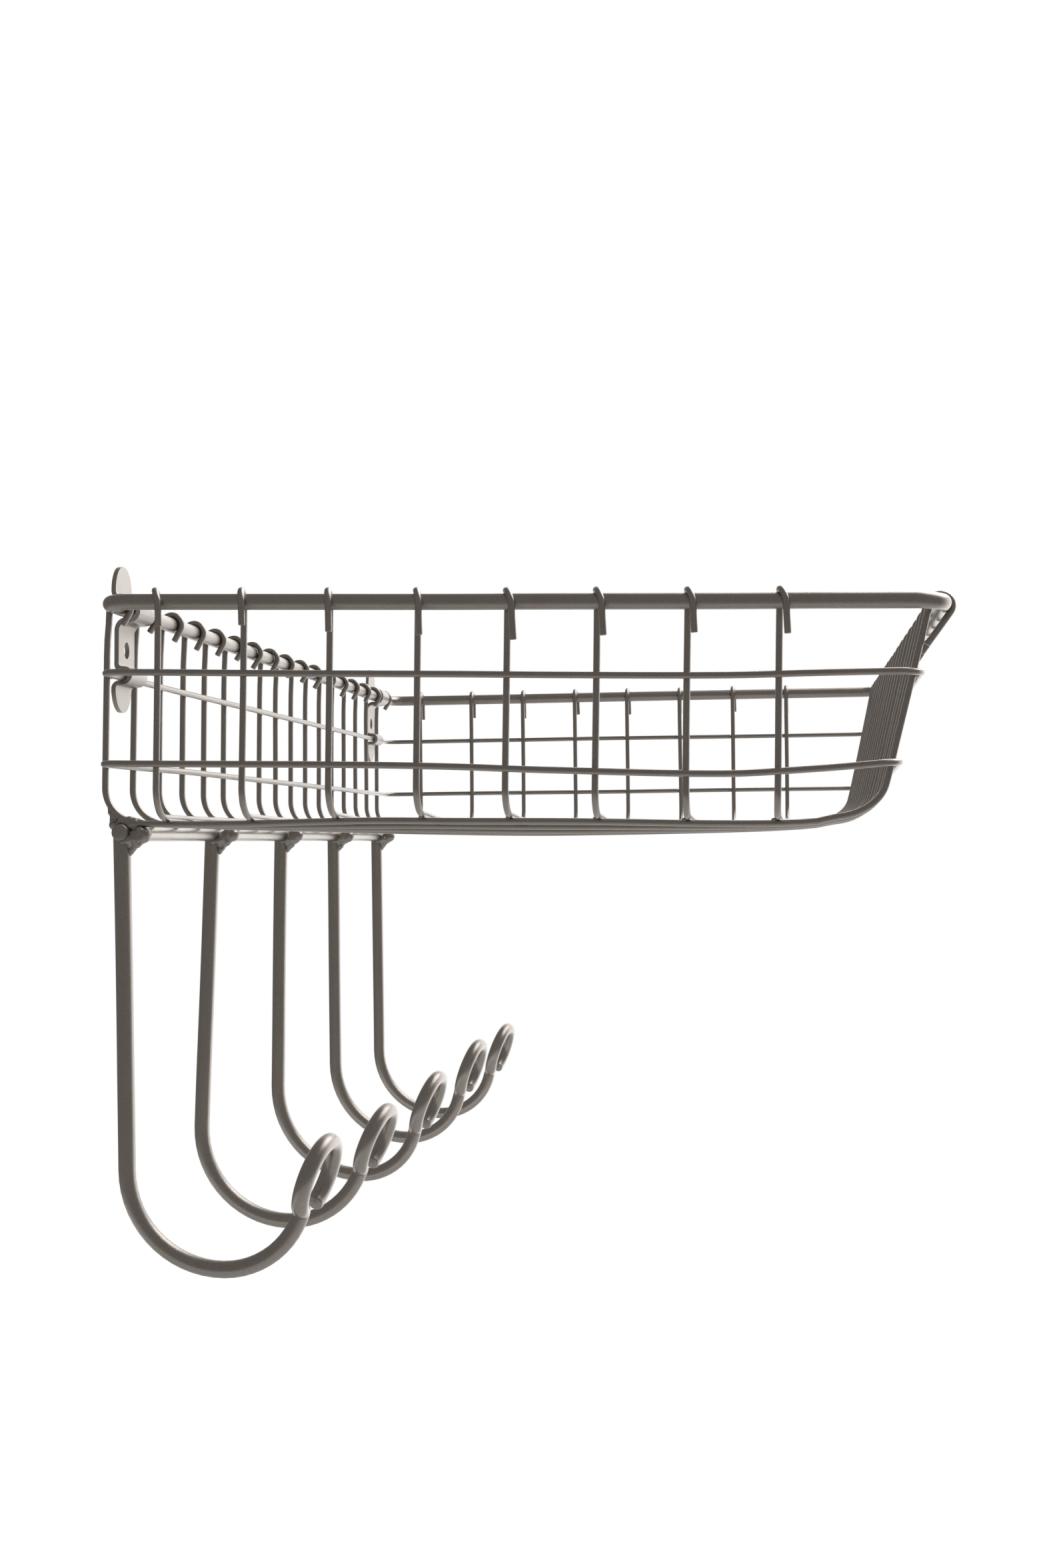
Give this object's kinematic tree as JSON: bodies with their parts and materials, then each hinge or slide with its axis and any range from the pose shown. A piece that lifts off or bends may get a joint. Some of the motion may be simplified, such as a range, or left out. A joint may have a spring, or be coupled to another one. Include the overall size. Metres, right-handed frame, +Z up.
{
  "type": "wall-mounted wire basket with coat hooks",
  "caption": "Welded-wire wall basket with a rod rim, two strap brackets for wall screws, and a bar of eye-ended coat hooks under its back edge.",
  "frame": {"origin": "on the wall plane, midway along the rack, level with the screw holes of the two brackets", "axes": "+X along the rack, +Y into the wall, +Z up; the basket stands out towards -Y"},
  "size_m": [0.5678, 0.3173, 0.2721],
  "materials": {
    "pewter_rod": "satin pewter grey, fine grain",
    "pewter_wire": "satin pewter grey, fine grain",
    "pewter_strap": "satin pewter grey, smooth"
  },
  "bodies": {
    "root": {"rim_rod": "pewter_rod", "upper_ring_wire": "pewter_wire", "lower_ring_wire": "pewter_wire", "lengthwise_wire_1": "pewter_wire", "lengthwise_wire_2": "pewter_wire", "lengthwise_wire_3": "pewter_wire", "lengthwise_wire_4": "pewter_wire", "lengthwise_wire_5": "pewter_wire", "lengthwise_wire_6": "pewter_wire", "lengthwise_wire_7": "pewter_wire", "lengthwise_wire_8": "pewter_wire", "crosswise_wire_1": "pewter_wire", "crosswise_wire_2": "pewter_wire", "crosswise_wire_3": "pewter_wire", "crosswise_wire_4": "pewter_wire", "crosswise_wire_5": "pewter_wire", "crosswise_wire_6": "pewter_wire", "crosswise_wire_7": "pewter_wire", "crosswise_wire_8": "pewter_wire", "crosswise_wire_9": "pewter_wire", "crosswise_wire_10": "pewter_wire", "crosswise_wire_11": "pewter_wire", "crosswise_wire_12": "pewter_wire", "crosswise_wire_13": "pewter_wire", "crosswise_wire_14": "pewter_wire", "crosswise_wire_15": "pewter_wire", "crosswise_wire_16": "pewter_wire", "crosswise_wire_17": "pewter_wire", "hook_bar": "pewter_rod", "coat_hook_1": "pewter_rod", "coat_hook_2": "pewter_rod", "coat_hook_3": "pewter_rod", "coat_hook_4": "pewter_rod", "coat_hook_5": "pewter_rod", "wall_bracket_left": "pewter_strap", "wall_bracket_right": "pewter_strap"}
  },
  "joints": []
}
